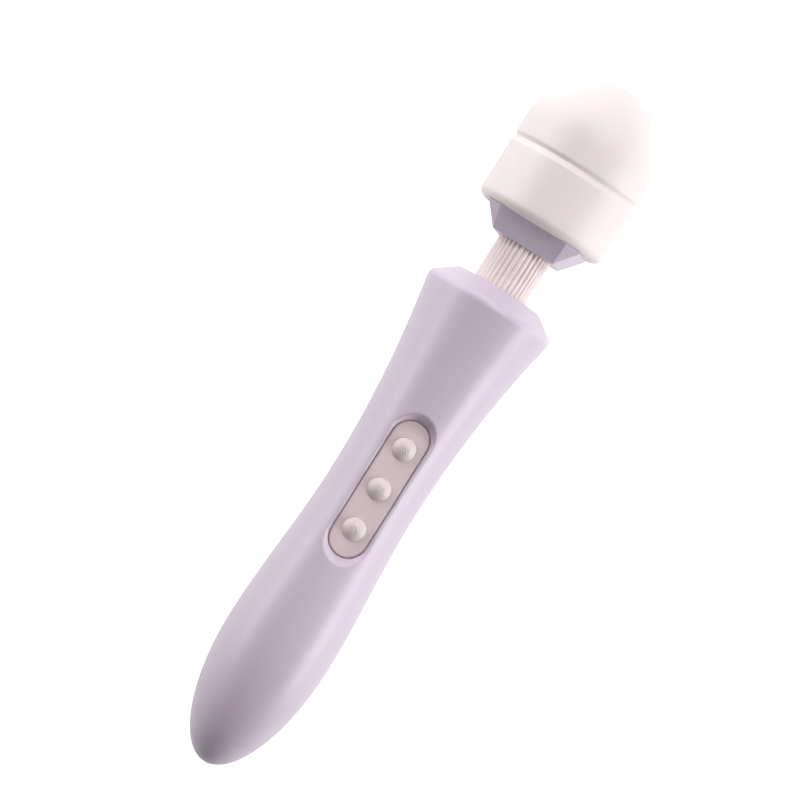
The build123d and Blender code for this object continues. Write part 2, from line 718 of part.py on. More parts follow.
def screws_along_y(spots, y, shank, back=True):
    """Screws with their heads' undersides at y, pointing to the back or to the keypad."""
    turn = Rot(-90 if back else 90, 0, 0)
    return [Pos(x, y, z) * turn * screw(SCREW_R, SCREW_HEAD_R, SCREW_HEAD, shank) for x, z in spots]


board_screws = screws_along_y(board_posts, -board_back, BOARD_THICK + SCREW_BITE - 0.4, back=False)
clamp_screws = screws_along_y(clamp_posts, foot_y - CLAMP_WALL, CLAMP_WALL + SCREW_BITE - 0.4)
carrier_screws = screws_along_y(cross_spots, cross_head_y, cross_tip_y - cross_head_y - 0.4)
seat_shank = SEAT_THICK + SCREW_BITE - 0.4
lower_screws = screws_along_z(
    seat_screw_spots, seat_low_z, SEAT_SCREW_SHANK_R, SEAT_SCREW_HEAD_R, seat_shank
)
upper_shank = floor_z - spigot_z + join_bite - 0.4
upper_screws = screws_along_z(join_spots, floor_z, SCREW_R, SCREW_HEAD_R, upper_shank, up=False)

nodes = {
    "handle_front_shell": front_shell,
    "handle_rear_shell": back_shell,
    "keypad_panel": panel,
    "keypad_gasket": gasket,
    "circuit_board": board,
    "board_components": group(components),
    "board_screws": group(board_screws),
    "tact_switches": group(switch(z) for z in button_spots),
    "battery_cells": group(cell(start) for start in cell_spots),
    "battery_tabs": group(tabs),
    "battery_clamps": group(clamp(z) for z in clamp_spots),
    "battery_clamp_screws": group(clamp_screws),
    "charging_socket": socket,
    "socket_contacts": group(contacts),
    "socket_wires": group(socket_wires),
    "battery_wires": group(battery_wires),
    "motor_wires": group(motor_wires),
    "neck_lower_seat": lower_seat,
    "lower_seat_screws": group(lower_screws),
    "neck_sleeve": sleeve,
    "neck_spring": spring,
    "neck_upper_seat": upper_seat,
    "upper_seat_screws": group(upper_screws),
    "head_collar": collar,
    "head_cap": cup,
    "motor_carrier_front": carrier_front,
    "motor_carrier_rear": carrier_back,
    "carrier_screws": group(carrier_screws),
    "motor_can": can,
    "motor_end_cap": end_cap,
    "motor_bearing": bearing,
    "motor_magnets": group(magnets),
    "motor_terminals": group(terminals),
    "motor_dampers": group(dampers),
    "motor_shaft": shaft,
    "motor_armature": armature,
    "eccentric_weight": weight,
}
for name, z in zip(("upper", "middle", "lower"), button_spots):
    nodes[f"button_{name}"] = button(z)
    nodes[f"switch_plunger_{name}"] = plunger(z)

# Laid on its back, the wand's axis is as high as its widest round, the head or the shoulder
axis_height = max(HEAD_R, outside.bounding_box().max.X)
laid_down = Pos(0, -wand_length / 2, axis_height) * Rot(-90, 0, 0)

os.makedirs("parts", exist_ok=True)
for name, shape in nodes.items():
    export_step(laid_down * shape, f"parts/{name}.step")
print(f"{len(nodes)} nodes, wand {wand_length:.1f} mm long, neck pivot at z {pivot_z:.2f}")
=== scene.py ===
import json
import math

import bmesh
import bpy
from mathutils import Matrix, Vector


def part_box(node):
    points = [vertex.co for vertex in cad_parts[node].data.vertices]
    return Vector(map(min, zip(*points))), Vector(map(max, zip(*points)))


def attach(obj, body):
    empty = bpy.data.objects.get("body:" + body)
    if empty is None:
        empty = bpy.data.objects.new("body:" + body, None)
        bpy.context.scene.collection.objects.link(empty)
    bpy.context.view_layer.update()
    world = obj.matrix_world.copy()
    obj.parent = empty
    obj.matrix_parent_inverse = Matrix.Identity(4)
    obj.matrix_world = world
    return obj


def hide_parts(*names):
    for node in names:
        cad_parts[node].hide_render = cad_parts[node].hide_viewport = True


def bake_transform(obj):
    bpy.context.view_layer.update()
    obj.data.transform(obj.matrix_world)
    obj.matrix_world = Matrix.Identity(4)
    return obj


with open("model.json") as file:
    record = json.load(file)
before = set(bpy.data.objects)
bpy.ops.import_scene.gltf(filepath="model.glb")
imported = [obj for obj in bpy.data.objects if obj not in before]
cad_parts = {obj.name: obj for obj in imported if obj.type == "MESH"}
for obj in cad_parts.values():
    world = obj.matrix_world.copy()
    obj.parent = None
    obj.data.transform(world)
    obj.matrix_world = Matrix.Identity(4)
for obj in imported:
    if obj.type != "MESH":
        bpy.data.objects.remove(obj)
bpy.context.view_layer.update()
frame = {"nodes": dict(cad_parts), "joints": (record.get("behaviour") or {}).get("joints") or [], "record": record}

# The wand lies on its back along +Y, keypad up. Lengths are in metres.
mm = 0.001
mergeGap = 1e-6
frontLow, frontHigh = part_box("handle_front_shell")
capLow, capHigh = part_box("head_cap")
collarLow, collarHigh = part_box("head_collar")
panelLow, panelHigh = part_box("keypad_panel")
axisZ = (capLow.z + capHigh.z) / 2
tailY = frontLow.y
toWand = Matrix.Translation((0, tailY, axisZ)) @ Matrix.Rotation(math.radians(-90), 4, "X")


# Mesh helpers. A turned or stacked piece is built upright, z up from the tail's tip and -y
# towards the keypad, and toWand lays it in its place.

def newPiece(name, bm, material, sharpAngle=35.0, place=toWand):
    bmesh.ops.transform(bm, matrix=place, verts=bm.verts)
    for face in bm.faces:
        face.smooth = True
    limit = math.radians(sharpAngle)
    for edge in bm.edges:
        edge.smooth = len(edge.link_faces) == 2 and edge.calc_face_angle(0) < limit
    mesh = bpy.data.meshes.new(name)
    bm.to_mesh(mesh)
    bm.free()
    piece = bpy.data.objects.new(name, mesh)
    bpy.context.scene.collection.objects.link(piece)
    mesh.materials.append(material)
    return piece


def outlineChain(bm, points):
    verts = [bm.verts.new((r, 0, z)) for r, z in points]
    return verts, [bm.edges.new(pair) for pair in zip(verts, verts[1:])]


def spinOutline(bm, points, steps, start=0.0, angle=360.0):
    # points are (radius, height); the outline turns about z from start, measured from +x
    verts, edges = outlineChain(bm, points)
    bmesh.ops.rotate(bm, verts=verts, matrix=Matrix.Rotation(math.radians(start), 3, "Z"))
    bmesh.ops.spin(
        bm, geom=verts + edges, cent=(0, 0, 0), axis=(0, 0, 1), dvec=(0, 0, 0),
        angle=math.radians(angle), steps=steps, use_merge=angle == 360.0, use_duplicate=False,
    )
    bmesh.ops.remove_doubles(bm, verts=bm.verts, dist=mergeGap)


def arcPoints(centre, radius, fromAngle, toAngle, steps):
    turn = (toAngle - fromAngle) / steps
    angles = [math.radians(fromAngle + turn * i) for i in range(steps + 1)]
    return [(centre[0] + radius * math.cos(a), centre[1] + radius * math.sin(a)) for a in angles]


def cornerPoints(before, corner, after, radius, steps):
    # a rounded corner between two straight runs, as points along its arc
    a, b, c = Vector(before), Vector(corner), Vector(after)
    inward, outward = (a - b).normalized(), (c - b).normalized()
    half = inward.angle(outward) / 2
    centre = b + (inward + outward).normalized() * radius / math.sin(half)
    first = b + inward * radius / math.tan(half) - centre
    last = b + outward * radius / math.tan(half) - centre
    points = []
    for i in range(steps + 1):
        share = i / steps
        points.append(tuple(centre + first.lerp(last, share).normalized() * radius))
    return points


def thicken(bm, thickness):
    bmesh.ops.recalc_face_normals(bm, faces=bm.faces)
    bmesh.ops.solidify(bm, geom=bm.faces[:], thickness=thickness)


def smoothMin(a, b, blend):
    share = max(blend - abs(a - b), 0.0) / blend
    return min(a, b) - share * share * blend / 4


def smoothStep(low, high, value):
    t = min(max((value - low) / (high - low), 0.0), 1.0)
    return t * t * (3 - 2 * t)


# Shader groups that several materials share

grainValues = {
    "mottleDetail": 3.0, "mottleLow": 0.3, "mottleHigh": 0.7, "fineDetail": 2.0,
    "wideDetail": 1.0, "waves": 90.0, "waveShare": 0.5, "bumpDepth": 0.00005,
}


def addSocket(group, name, kind, way):
    group.interface.new_socket(name=name, in_out=way, socket_type=kind)


def mottleGroup():
    # faint mottling: mixes two colours in soft patches and gives a roughness that follows them
    group = bpy.data.node_groups.new("softMottle", "ShaderNodeTree")
    addSocket(group, "Base", "NodeSocketColor", "INPUT")
    addSocket(group, "Shade", "NodeSocketColor", "INPUT")
    addSocket(group, "Scale", "NodeSocketFloat", "INPUT")
    addSocket(group, "Rough Low", "NodeSocketFloat", "INPUT")
    addSocket(group, "Rough High", "NodeSocketFloat", "INPUT")
    addSocket(group, "Color", "NodeSocketColor", "OUTPUT")
    addSocket(group, "Roughness", "NodeSocketFloat", "OUTPUT")
    nodes, links = group.nodes, group.links
    inputs, outputs = nodes.new("NodeGroupInput"), nodes.new("NodeGroupOutput")
    coords = nodes.new("ShaderNodeTexCoord")
    noise = nodes.new("ShaderNodeTexNoise")
    noise.inputs["Detail"].default_value = grainValues["mottleDetail"]
    mix = nodes.new("ShaderNodeMix")
    mix.data_type = "RGBA"
    rough = nodes.new("ShaderNodeMapRange")
    links.new(coords.outputs["Object"], noise.inputs["Vector"])
    links.new(inputs.outputs["Scale"], noise.inputs["Scale"])
    links.new(noise.outputs["Fac"], mix.inputs["Factor"])
    links.new(inputs.outputs["Base"], mix.inputs["A"])
    links.new(inputs.outputs["Shade"], mix.inputs["B"])
    links.new(noise.outputs["Fac"], rough.inputs["Value"])
    rough.inputs["From Min"].default_value = grainValues["mottleLow"]
    rough.inputs["From Max"].default_value = grainValues["mottleHigh"]
    links.new(inputs.outputs["Rough Low"], rough.inputs["To Min"])
    links.new(inputs.outputs["Rough High"], rough.inputs["To Max"])
    links.new(mix.outputs["Result"], outputs.inputs["Color"])
    links.new(rough.outputs["Result"], outputs.inputs["Roughness"])
    return group


def grainGroup():
    # moulded grain: a fine pebbled height over a wider, shallower waviness
    group = bpy.data.node_groups.new("mouldGrain", "ShaderNodeTree")
    addSocket(group, "Fine Scale", "NodeSocketFloat", "INPUT")
    addSocket(group, "Wide Scale", "NodeSocketFloat", "INPUT")
    addSocket(group, "Wide Share", "NodeSocketFloat", "INPUT")
    addSocket(group, "Height", "NodeSocketFloat", "OUTPUT")
    nodes, links = group.nodes, group.links
    inputs, outputs = nodes.new("NodeGroupInput"), nodes.new("NodeGroupOutput")
    coords = nodes.new("ShaderNodeTexCoord")
    fine, wide = nodes.new("ShaderNodeTexNoise"), nodes.new("ShaderNodeTexNoise")
    fine.inputs["Detail"].default_value = grainValues["fineDetail"]
    wide.inputs["Detail"].default_value = grainValues["wideDetail"]
    share = nodes.new("ShaderNodeMath")
    share.operation = "MULTIPLY"
    total = nodes.new("ShaderNodeMath")
    total.operation = "ADD"
    for noise, name in ((fine, "Fine Scale"), (wide, "Wide Scale")):
        links.new(coords.outputs["Object"], noise.inputs["Vector"])
        links.new(inputs.outputs[name], noise.inputs["Scale"])
    links.new(wide.outputs["Fac"], share.inputs[0])
    links.new(inputs.outputs["Wide Share"], share.inputs[1])
    links.new(fine.outputs["Fac"], total.inputs[0])
    links.new(share.outputs["Value"], total.inputs[1])
    links.new(total.outputs["Value"], outputs.inputs["Height"])
    return group


softMottle = mottleGroup()
mouldGrain = grainGroup()


def finish(name, look):
    # one material from a dictionary of values; the shader's fixed numbers are set on its sockets
    material = bpy.data.materials.new(name)
    material.use_nodes = True
    nodes, links = material.node_tree.nodes, material.node_tree.links
    shader = nodes["Principled BSDF"]
    for socket, value in look.get("sockets", {}).items():
        shader.inputs[socket].default_value = value
    mottle = nodes.new("ShaderNodeGroup")
    mottle.node_tree = softMottle
    mottle.inputs["Base"].default_value = (*look["base"], 1)
    mottle.inputs["Shade"].default_value = (*look["shade"], 1)
    mottle.inputs["Scale"].default_value = look["patches"]
    mottle.inputs["Rough Low"].default_value = look["rough"][0]
    mottle.inputs["Rough High"].default_value = look["rough"][1]
    grain = nodes.new("ShaderNodeGroup")
    grain.node_tree = mouldGrain
    grain.inputs["Fine Scale"].default_value = look["grain"]
    grain.inputs["Wide Scale"].default_value = grainValues["waves"]
    grain.inputs["Wide Share"].default_value = grainValues["waveShare"]
    bump = nodes.new("ShaderNodeBump")
    bump.inputs["Strength"].default_value = look["bump"]
    bump.inputs["Distance"].default_value = grainValues["bumpDepth"]
    links.new(mottle.outputs["Color"], shader.inputs["Base Color"])
    links.new(mottle.outputs["Roughness"], shader.inputs["Roughness"])
    links.new(grain.outputs["Height"], bump.inputs["Height"])
    links.new(bump.outputs["Normal"], shader.inputs["Normal"])
    return material


looks = {
    "handle_lilac": {
        "base": (0.740, 0.638, 0.748), "shade": (0.715, 0.612, 0.724), "patches": 30.0,
        "rough": (0.34, 0.40), "grain": 2600.0, "bump": 0.12,
        "sockets": {"Sheen Weight": 0.10, "Sheen Roughness": 0.4},
    },
    "collar_lilac": {
        "base": (0.650, 0.580, 0.674), "shade": (0.630, 0.560, 0.654), "patches": 60.0,
        "rough": (0.24, 0.30), "grain": 500.0, "bump": 0.03,
        "sockets": {"Specular IOR Level": 0.15},
    },
    "head_silicone": {
        "base": (0.965, 0.850, 0.840), "shade": (0.950, 0.830, 0.820), "patches": 35.0,
        "rough": (0.46, 0.54), "grain": 2200.0, "bump": 0.10,
        "sockets": {
            "Subsurface Weight": 0.25, "Subsurface Scale": 0.004,
            "Subsurface Radius": (1.0, 0.55, 0.45), "Sheen Weight": 0.15,
        },
    },
    "neck_silicone": {
        "base": (0.960, 0.835, 0.825), "shade": (0.940, 0.810, 0.800), "patches": 90.0,
        "rough": (0.36, 0.44), "grain": 2600.0, "bump": 0.08,
        "sockets": {
            "Subsurface Weight": 0.2, "Subsurface Scale": 0.002,
            "Subsurface Radius": (1.0, 0.5, 0.45),
        },
    },
    "keypad_beige": {
        "base": (0.840, 0.700, 0.722), "shade": (0.820, 0.680, 0.702), "patches": 60.0,
        "rough": (0.40, 0.46), "grain": 2600.0, "bump": 0.10,
        "sockets": {"Subsurface Weight": 0.08, "Subsurface Scale": 0.002},
    },
    "button_grey": {
        "base": (0.840, 0.722, 0.735), "shade": (0.820, 0.702, 0.715), "patches": 120.0,
        "rough": (0.38, 0.45), "grain": 3000.0, "bump": 0.10,
        "sockets": {"Subsurface Weight": 0.12, "Subsurface Scale": 0.0015},
    },
    "carrier_plastic": {
        "base": (0.72, 0.72, 0.69), "shade": (0.68, 0.68, 0.65), "patches": 60.0,
        "rough": (0.45, 0.55), "grain": 1500.0, "bump": 0.15,
    },
    "board_green": {
        "base": (0.010, 0.110, 0.040), "shade": (0.006, 0.080, 0.030), "patches": 400.0,
        "rough": (0.25, 0.35), "grain": 2500.0, "bump": 0.2,
        "sockets": {"Coat Weight": 0.4},
    },
    "black_plastic": {
        "base": (0.018, 0.018, 0.020), "shade": (0.028, 0.028, 0.030), "patches": 200.0,
        "rough": (0.35, 0.50), "grain": 2500.0, "bump": 0.2,
    },
    "steel": {
        "base": (0.58, 0.58, 0.59), "shade": (0.50, 0.50, 0.51), "patches": 300.0,
        "rough": (0.22, 0.36), "grain": 1800.0, "bump": 0.06, "sockets": {"Metallic": 1.0},
    },
    "ferrite": {
        "base": (0.035, 0.035, 0.038), "shade": (0.060, 0.060, 0.063), "patches": 900.0,
        "rough": (0.55, 0.75), "grain": 2500.0, "bump": 0.4,
    },
    "brass": {
        "base": (0.70, 0.50, 0.20), "shade": (0.62, 0.42, 0.16), "patches": 300.0,
        "rough": (0.20, 0.34), "grain": 1500.0, "bump": 0.06, "sockets": {"Metallic": 1.0},
    },
    "cell_wrap": {
        "base": (0.020, 0.120, 0.260), "shade": (0.016, 0.100, 0.220), "patches": 80.0,
        "rough": (0.18, 0.28), "grain": 400.0, "bump": 0.15, "sockets": {"Coat Weight": 0.6},
    },
    "rubber_dark": {
        "base": (0.025, 0.025, 0.027), "shade": (0.040, 0.040, 0.042), "patches": 300.0,
        "rough": (0.60, 0.78), "grain": 2200.0, "bump": 0.3,
    },
    "wire_insulation": {
        "base": (0.300, 0.018, 0.016), "shade": (0.240, 0.014, 0.012), "patches": 200.0,
        "rough": (0.34, 0.44), "grain": 900.0, "bump": 0.08,
    },
}
finishes = {name: finish(name, look) for name, look in looks.items()}
for part in frame["record"]["subparts"]:
    node = frame["nodes"][part["node"]]
    node.data.materials.clear()
    node.data.materials.append(finishes[part["material_slot"]])
print("materials ready:", len(finishes))


# Camera: a long lens over the keypad, turned so that the wand leans to the right
camera = {
    "distance": 2.15, "sideways": 5.0, "over": panelLow.lerp(panelHigh, 0.5).y,
    "aimX": -0.0110, "aimY": 0.0055, "lean": 32.14, "width": 0.3366,
    "clipEnd": 20.0,
}


def makeCamera(values):
    aim = Vector((values["aimX"], values["aimY"], axisZ))
    turn = math.radians(values["sideways"])
    place = Vector((aim.x - values["distance"] * math.sin(turn), values["over"], axisZ))
    place.z += values["distance"] * math.cos(turn)
    look = (aim - place).normalized()
    along = Vector((0, 1, 0))
    along = (along - look * along.dot(look)).normalized()
    lean = math.radians(values["lean"])
    up = along * math.cos(lean) - look.cross(along) * math.sin(lean)
    right = look.cross(up)
    data = bpy.data.cameras.new("viewCamera")
    data.angle = 2 * math.atan(values["width"] / 2 / (aim - place).length)
    data.clip_end = values["clipEnd"]
    item = bpy.data.objects.new("viewCamera", data)
    rotation = Matrix((right, up, -look)).transposed().to_4x4()
    item.matrix_world = Matrix.Translation(place) @ rotation
    bpy.context.scene.collection.objects.link(item)
    bpy.context.scene.camera = item


makeCamera(camera)
print("camera ready")


# Handle: two turned half shells with a fine seam between them
handle = {
    "bulgeR": 24.0 * mm, "bulgeZ": 59.0 * mm, "waistR": 20.55 * mm, "waistZ": 133.0 * mm,
    "shoulderR": 30.05 * mm, "shoulderZ": 226.1 * mm, "shoulderRound": 4.0 * mm,
    "topR": 19.7 * mm, "topRound": 1.0 * mm, "neckHole": 12.8 * mm, "holeDepth": 3.5 * mm,
    "wall": 1.4 * mm, "seam": 0.12 * mm, "holeRound": 0.35 * mm, "flareRun": 6 * mm,
    "frontSteps": 170, "backSteps": 90, "padStep": 0.5 * mm, "plainStep": 2.2 * mm,
    "tailSteps": 26, "shoulderSteps": 12, "topSteps": 6, "holeSteps": 4, "sharp": 40,
}
topZ = frontHigh.y - tailY
pocket = {
    "middleZ": (panelLow.y + panelHigh.y) / 2 - tailY,
    "endR": (panelHigh.x - panelLow.x) / 2,
    "straight": (panelHigh.y - panelLow.y - panelHigh.x + panelLow.x) / 2,
    "height": panelHigh.z - axisZ,
    "gap": 0.12 * mm, "drop": 1.1 * mm, "slope": 1.5, "soft": 0.5 * mm,
    "deep": 0.5 * mm, "reach": 14.0 * mm,
}


def skinRadius(z):
    # the handle's outside radius at a height, from the tail's ellipse through waist and flare
    h = handle
    if z < h["bulgeZ"]:
        return h["bulgeR"] * math.sqrt(max(1 - ((h["bulgeZ"] - z) / h["bulgeZ"]) ** 2, 0))
    if z < h["waistZ"]:
        return h["bulgeR"] + (h["waistR"] - h["bulgeR"]) * smoothStep(h["bulgeZ"], h["waistZ"], z)
    share = (z - h["waistZ"]) / (h["shoulderZ"] - h["waistZ"])
    return h["waistR"] + (h["shoulderR"] - h["waistR"]) * share * share


def handleOutline(step, padStep):
    h = handle
    points = [(0.0, 0.0)]
    for i in range(1, h["tailSteps"]):
        angle = math.pi / 2 * i / h["tailSteps"]
        z = h["bulgeZ"] * (1 - math.cos(angle))
        points.append((skinRadius(z), z))
    padLow = pocket["middleZ"] - pocket["straight"] - pocket["endR"] - pocket["reach"] / 2
    padHigh = 2 * pocket["middleZ"] - padLow
    shoulder = (h["shoulderR"], h["shoulderZ"])
    rim = (h["topR"], topZ)
    lip = (h["neckHole"], topZ)
    flareZ = h["shoulderZ"] - h["flareRun"]
    flare = (skinRadius(flareZ), flareZ)
    z = h["bulgeZ"]
    while z < flare[1]:
        points.append((skinRadius(z), z))
        z += padStep if padLow < z < padHigh else step
    points += cornerPoints(flare, shoulder, rim, h["shoulderRound"], h["shoulderSteps"])
    points += cornerPoints(shoulder, rim, lip, h["topRound"], h["topSteps"])
    sill = (h["neckHole"], topZ - h["holeDepth"])
    points += cornerPoints(rim, lip, sill, h["holeRound"], h["holeSteps"])
    points.append(sill)
    return points


def padDistance(x, z):
    # how far a point lies outside the panel's long rounded outline
    along = max(abs(z - pocket["middleZ"]) - pocket["straight"], 0.0)
    return math.hypot(x, along) - pocket["endR"]


def padOutward(x, z):
    overrun = z - pocket["middleZ"]
    along = math.copysign(max(abs(overrun) - pocket["straight"], 0.0), overrun)
    return Vector((x, along)).normalized()


def sinkPocket(bm):
    # lowers the skin into the pocket's slopes, then opens a straight-walled well at its foot
    cell = handle["padStep"]
    slack = cell / 10
    inside = [
        face for face in bm.faces
        if face.calc_center_median().y < 0
        and padDistance(face.calc_center_median().x, face.calc_center_median().z) < pocket["gap"]
    ]
    bmesh.ops.delete(bm, geom=inside, context="FACES")
    for vert in bm.verts:
        distance = padDistance(vert.co.x, vert.co.z)
        if vert.co.y > 0 or distance > pocket["reach"]:
            continue
        if vert.is_boundary and distance < pocket["gap"] + cell:
            shift = padOutward(vert.co.x, vert.co.z) * (pocket["gap"] - distance)
            vert.co.x += shift.x
            vert.co.z += shift.y
            distance = pocket["gap"]
        slope = pocket["height"] - pocket["drop"]
        slope += max(distance - pocket["gap"], 0) * pocket["slope"]
        vert.co.y = -smoothMin(-vert.co.y, slope, pocket["soft"])
    mouth = [
        edge for edge in bm.edges
        if edge.is_boundary and edge.verts[0].co.y < 0
        and padDistance(edge.verts[0].co.x, edge.verts[0].co.z) < pocket["gap"] + slack
        and padDistance(edge.verts[1].co.x, edge.verts[1].co.z) < pocket["gap"] + slack
    ]
    walls = bmesh.ops.extrude_edge_only(bm, edges=mouth)["geom"]
    low = [item for item in walls if isinstance(item, bmesh.types.BMVert)]
    bmesh.ops.translate(bm, verts=low, vec=(0, pocket["deep"], 0))


def makeHalfShell(name, side, steps, padStep, shape):
    # side is 1 for the back half and -1 for the keypad's half
    bm = bmesh.new()
    outline = handleOutline(handle["plainStep"], padStep)
    spinOutline(bm, outline, steps, start=0.0 if side > 0 else 180.0, angle=180.0)
    shape(bm)
    bmesh.ops.translate(bm, verts=bm.verts, vec=(0, side * handle["seam"] / 2, 0))
    thicken(bm, handle["wall"])
    return newPiece(name, bm, finishes["handle_lilac"], sharpAngle=handle["sharp"])


port = {
    "z": (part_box("charging_socket")[0].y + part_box("charging_socket")[1].y) / 2 - tailY,
    "holeR": 2.95 * mm, "deep": 1.6 * mm, "dish": 0.5 * mm, "dishR": 4.6 * mm,
    "fineR": 8 * mm, "settleR": 9 * mm, "behind": 5 * mm, "cuts": 5,
}


def portDistance(point):
    return math.hypot(point.x, point.z - port["z"])


def openPort(bm):
    # a round hole for the charging socket in the back of the tail, in a shallow dish
    cell = handle["plainStep"]
    near = [
        face for face in bm.faces
        if portDistance(face.calc_center_median()) < port["fineR"]
        and face.calc_center_median().y > 0
    ]
    edges = list({edge for face in near for edge in face.edges})
    bmesh.ops.subdivide_edges(bm, edges=edges, cuts=port["cuts"], use_grid_fill=True)
    for vert in bm.verts:
        if vert.co.y > 0 and portDistance(vert.co) < port["settleR"]:
            vert.co.y = math.sqrt(max(skinRadius(vert.co.z) ** 2 - vert.co.x**2, 0))
    inside = [
        face for face in bm.faces
        if portDistance(face.calc_center_median()) < port["holeR"]
        and face.calc_center_median().y > 0
    ]
    bmesh.ops.delete(bm, geom=inside, context="FACES")
    mouth = []
    for vert in bm.verts:
        out = Vector((vert.co.x, vert.co.z - port["z"]))
        if vert.is_boundary and vert.co.y > port["behind"] and out.length < port["holeR"] + cell:
            out = out.normalized() * port["holeR"]
            vert.co.x = out.x
            vert.co.z = port["z"] + out.y
            mouth.append(vert)
        if vert.co.y > 0 and out.length < port["dishR"]:
            dip = 1 - smoothStep(port["holeR"], port["dishR"], out.length)
            skin = math.sqrt(max(skinRadius(vert.co.z) ** 2 - vert.co.x**2, 0))
            vert.co.y = skin - port["dish"] * dip
    ring = [edge for edge in bm.edges if edge.is_boundary and all(v in mouth for v in edge.verts)]
    walls = bmesh.ops.extrude_edge_only(bm, edges=ring)["geom"]
    low = [item for item in walls if isinstance(item, bmesh.types.BMVert)]
    bmesh.ops.translate(bm, verts=low, vec=(0, -port["deep"], 0))


frontShell = makeHalfShell(
    "handleFrontSkin", -1, handle["frontSteps"], handle["padStep"], sinkPocket
)
backShell = makeHalfShell(
    "handleBackSkin", 1, handle["backSteps"], handle["plainStep"], openPort
)
for shell, node in ((frontShell, "handle_front_shell"), (backShell, "handle_rear_shell")):
    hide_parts(node)
    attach(shell, "handle")
print("handle shells ready")


# Keypad panel, with a softly rounded edge and a close hole round each button
panel = {
    "edge": 0.75 * mm, "edgeSegments": 5, "lip": 0.1 * mm, "lipSegments": 3, "endSteps": 48,
    "hole": 5.15 * mm, "holeSteps": 96, "drillDeep": 8 * mm, "levelGap": 1e-5,
    "cornerAngle": 1.0, "outlineGap": 0.1 * mm, "sharp": 40,
}
buttonNames = ("upper", "middle", "lower")
buttonZ = {
    name: (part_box(f"button_{name}")[0].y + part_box(f"button_{name}")[1].y) / 2 - tailY
    for name in buttonNames
}


def applyBoolean(piece, cutter):
    modifier = piece.modifiers.new("cut", "BOOLEAN")
    modifier.operation = "DIFFERENCE"
    modifier.solver = "EXACT"
    modifier.object = cutter
    bpy.context.view_layer.update()
    result = bpy.data.meshes.new_from_object(
        piece.evaluated_get(bpy.context.evaluated_depsgraph_get())
    )
    piece.modifiers.clear()
    return result


def makePanel(values):
    # the outline is two half circles joined; it is extruded, holed and then edged
    bm = bmesh.new()
    verts = []
    for end, start in ((1, 0), (-1, 180)):
        for i in range(values["endSteps"] + 1):
            angle = math.radians(start + 180 * i / values["endSteps"])
            x = pocket["endR"] * math.cos(angle)
            z = pocket["middleZ"] + end * pocket["straight"] + pocket["endR"] * math.sin(angle)
            verts.append(bm.verts.new((x, -(panelLow.z - axisZ), z)))
    base = bm.faces.new(verts)
    raised = bmesh.ops.extrude_face_region(bm, geom=[base])["geom"]
    top = [item for item in raised if isinstance(item, bmesh.types.BMVert)]
    bmesh.ops.translate(bm, verts=top, vec=(0, panelLow.z - panelHigh.z, 0))
    bmesh.ops.recalc_face_normals(bm, faces=bm.faces)
    solid = newPiece("panelBlank", bm, finishes["keypad_beige"], place=Matrix.Identity(4))
    drill = bmesh.new()
    for z in buttonZ.values():
        across = Matrix.Translation((0, -pocket["height"], z)) @ Matrix.Rotation(
            math.radians(90), 4, "X"
        )
        bmesh.ops.create_cone(
            drill, cap_ends=True, segments=values["holeSteps"], radius1=values["hole"],
            radius2=values["hole"], depth=values["drillDeep"], matrix=across,
        )
    cutter = newPiece("panelDrill", drill, finishes["keypad_beige"], place=Matrix.Identity(4))
    mesh = applyBoolean(solid, cutter)
    bm = bmesh.new()
    bm.from_mesh(mesh)
    bmesh.ops.remove_doubles(bm, verts=bm.verts, dist=mergeGap)
    level = -(panelHigh.z - axisZ)
    upper = [
        edge for edge in bm.edges
        if all(abs(v.co.y - level) < values["levelGap"] for v in edge.verts)
        and edge.calc_face_angle(0) > values["cornerAngle"]
    ]
    outer = [
        e for e in upper
        if padDistance(e.verts[0].co.x, e.verts[0].co.z) > -values["outlineGap"]
    ]
    inner = [e for e in upper if e not in outer]
    bmesh.ops.bevel(
        bm, geom=outer, offset=values["edge"], segments=values["edgeSegments"], profile=0.5,
        affect="EDGES", material=-1, clamp_overlap=True,
    )
    inner = [e for e in inner if e.is_valid]
    bmesh.ops.bevel(
        bm, geom=inner, offset=values["lip"], segments=values["lipSegments"], profile=0.5,
        affect="EDGES", material=-1, clamp_overlap=True,
    )
    for blank in (solid, cutter):
        bpy.data.objects.remove(blank)
    piece = newPiece("keypadPanel", bm, finishes["keypad_beige"], sharpAngle=values["sharp"])
    piece.modifiers.new("evenNormals", "WEIGHTED_NORMAL").keep_sharp = True
    return piece


keypadPanel = makePanel(panel)
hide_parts("keypad_panel")
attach(keypadPanel, "handle")
print("keypad panel ready")


# Buttons: soft domes with short raised grip ribs
dome = {
    "radius": 5.1 * mm, "wall": 0.05 * mm, "sink": 2.2 * mm, "steps": 96, "rings": 28,
    "bulge": 2.6, "foot": 1.12, "ribWidth": 0.26 * mm, "ribHeight": 0.31 * mm, "turn": 30.0,
    "footShare": 0.9, "footRise": 0.3 * mm, "probe": 0.05 * mm, "ribAround": 14, "ribRings": 10,
    # each rib: across, along, half its length and its slant, in the pattern's own turned frame
    "ribs": {
        "upper": [(-1.5, 0, 0.9, 0), (-0.5, 0, 1.4, 0), (0.5, 0, 1.4, 0), (1.5, 0, 0.9, 0)],
        "middle": [(-1.5, 0, 0.9, -26), (-0.5, 0, 1.4, -26), (0.5, 0, 1.4, -26), (1.5, 0, 0.9, -26)],
        "lower": [(-0.6, 1.0, 0.8, -40), (0.6, 1.0, 0.8, 40), (-0.8, -0.3, 1.05, -40),
                  (0.8, -0.3, 1.05, 40)],
    },
}


def domeHeight(distance, top):
    share = min(distance / dome["radius"], 1.0)
    rise = top - pocket["height"] - dome["wall"]
    return pocket["height"] + dome["wall"] + rise * (1 - share ** dome["bulge"]) ** dome["foot"]


